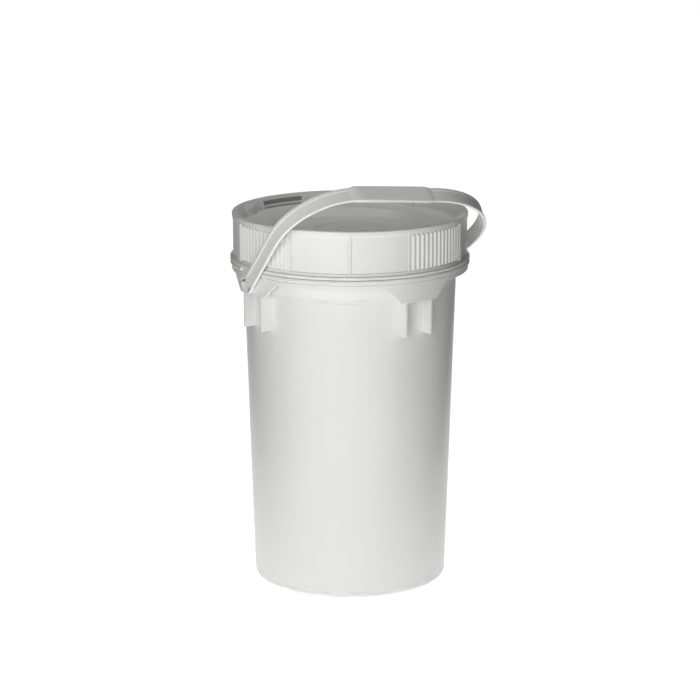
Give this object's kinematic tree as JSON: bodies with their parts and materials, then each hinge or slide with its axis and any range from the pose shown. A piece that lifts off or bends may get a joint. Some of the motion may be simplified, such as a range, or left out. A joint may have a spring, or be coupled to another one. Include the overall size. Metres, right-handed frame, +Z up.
{
  "type": "fermenting bucket",
  "caption": "Tall round plastic fermenting pail with a wide screw lid, a sealing ring and a one-piece swinging bail handle.",
  "frame": {"origin": "centre of the underside, on the level that the foot ring stands on", "axes": "+Z up along the pail's axis; the bail's pivot axis runs along X, the plain ears lie on +Y and -Y, and the resting bail leans towards -Y"},
  "size_m": [0.326, 0.3128, 0.5464],
  "materials": {
    "pail_plastic": "smooth moulded polyethylene, slightly waxy",
    "lid_plastic": "smooth moulded polyethylene",
    "seal_rubber": "soft foam rubber",
    "bail_plastic": "satin moulded plastic"
  },
  "bodies": {
    "pail": {"pail": "pail_plastic"},
    "seal": {"sealing_ring": "seal_rubber"},
    "lid": {"lid": "lid_plastic"},
    "bail": {"bail_handle": "bail_plastic"}
  },
  "joints": [
    {"name": "lid_rise", "type": "slide", "parent": "pail", "child": "seal", "axis": [0, 0, 1], "range_m": [0, 0.0055]},
    {"name": "lid_turn", "type": "hinge", "parent": "seal", "child": "lid", "pos_m": [0, 0, 0.4853], "axis": [0, 0, 1], "range_deg": [0, 80]},
    {"name": "bail_swing", "type": "hinge", "parent": "pail", "child": "bail", "pos_m": [0, 0, 0.409], "axis": [1, 0, 0], "range_deg": [-165, 70]}
  ],
  "couplings": [
    {"joint": "lid_rise", "follows": "lid_turn", "m_per_rad": 0.0038197}
  ]
}
